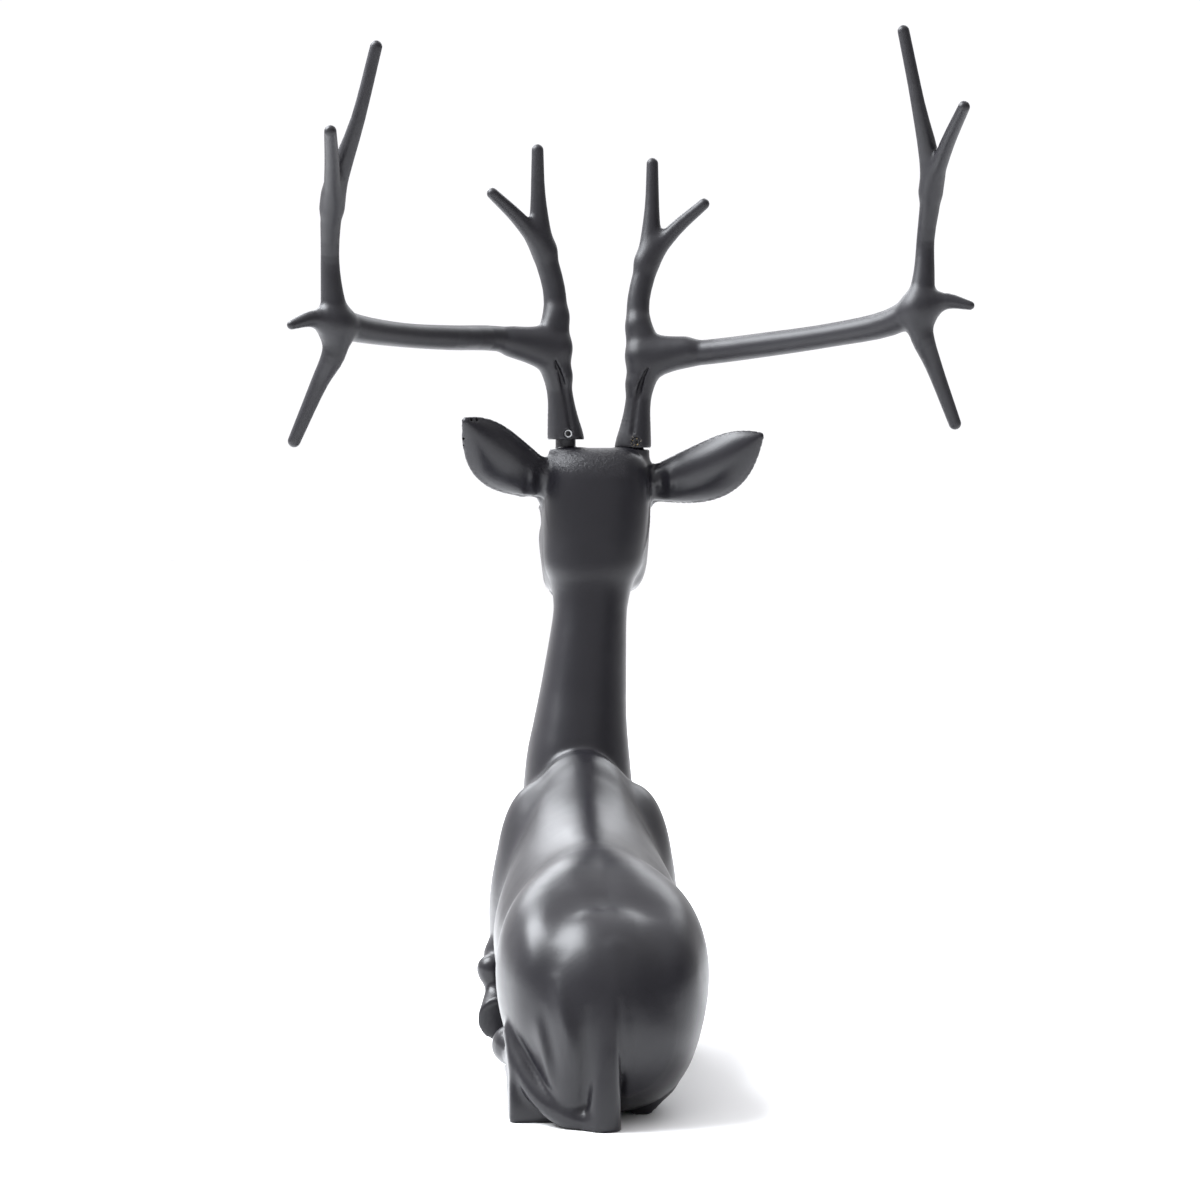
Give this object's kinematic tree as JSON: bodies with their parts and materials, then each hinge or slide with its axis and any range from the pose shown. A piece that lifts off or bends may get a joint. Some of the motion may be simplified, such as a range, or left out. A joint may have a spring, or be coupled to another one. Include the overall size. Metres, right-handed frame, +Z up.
{
  "type": "cast iron stag statue",
  "caption": "Reclining stag statue in black cast iron, head raised, with two separate branching antlers clamped on crown pegs by set screws.",
  "frame": {"origin": "on the floor plane, under the middle of the bounding box", "axes": "+Z up, the stag faces -Y, its left side is +X"},
  "size_m": [0.5202, 0.566, 0.787],
  "materials": {
    "black_iron": "satin black lacquer on smooth casting",
    "screw_steel": "bright turned steel",
    "screw_brass": "yellow plated steel with black paint on it"
  },
  "bodies": {
    "root": {"stag_body": "black_iron", "antler_left": "black_iron", "antler_right": "black_iron", "set_screw_left": "screw_steel", "set_screw_right": "screw_brass"}
  },
  "joints": []
}
